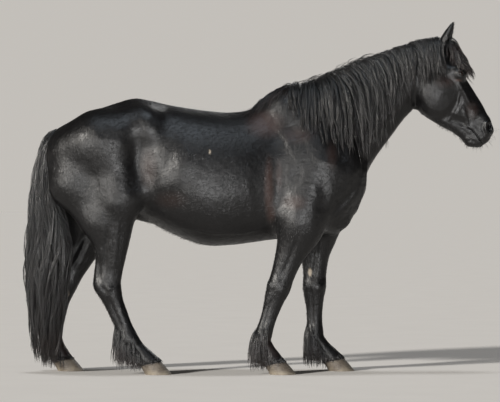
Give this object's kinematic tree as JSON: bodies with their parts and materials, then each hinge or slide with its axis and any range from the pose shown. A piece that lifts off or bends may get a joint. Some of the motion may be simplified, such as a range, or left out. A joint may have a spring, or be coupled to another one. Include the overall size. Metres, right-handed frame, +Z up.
{
  "type": "horse",
  "caption": "Standing black horse of a heavy riding type, life size, with a long mane, forelock, full tail and feathered fetlocks, as a still display model.",
  "frame": {"origin": "on the ground, under the middle of the horse's outline", "axes": "+X forward, from tail to muzzle; +Y to the horse's left; +Z up"},
  "size_m": [2.5789, 0.5916, 1.922],
  "materials": {
    "coat": "short glossy black hair with brown tints where the sun has bleached it",
    "hair": "long soft wavy black hair, brown at the tips",
    "hoof": "grey-brown horn, matt, with growth rings",
    "eye": "dark brown, wet gloss"
  },
  "bodies": {
    "root": {"eye_left": "eye", "ear_left": "coat", "fore_hoof_left": "hoof", "hind_hoof_left": "hoof", "eye_right": "eye", "ear_right": "coat", "fore_hoof_right": "hoof", "hind_hoof_right": "hoof", "forequarters": "coat", "barrel": "coat", "hindquarters": "coat", "neck": "coat", "head": "coat", "thigh_left": "coat", "thigh_right": "coat", "forearm_left": "coat", "knee_cannon_left": "coat", "fore_pastern_left": "coat", "gaskin_left": "coat", "hock_cannon_left": "coat", "hind_pastern_left": "coat", "forearm_right": "coat", "knee_cannon_right": "coat", "fore_pastern_right": "coat", "gaskin_right": "coat", "hock_cannon_right": "coat", "hind_pastern_right": "coat", "mane": "hair", "forelock": "hair", "tail": "hair"}
  },
  "joints": []
}
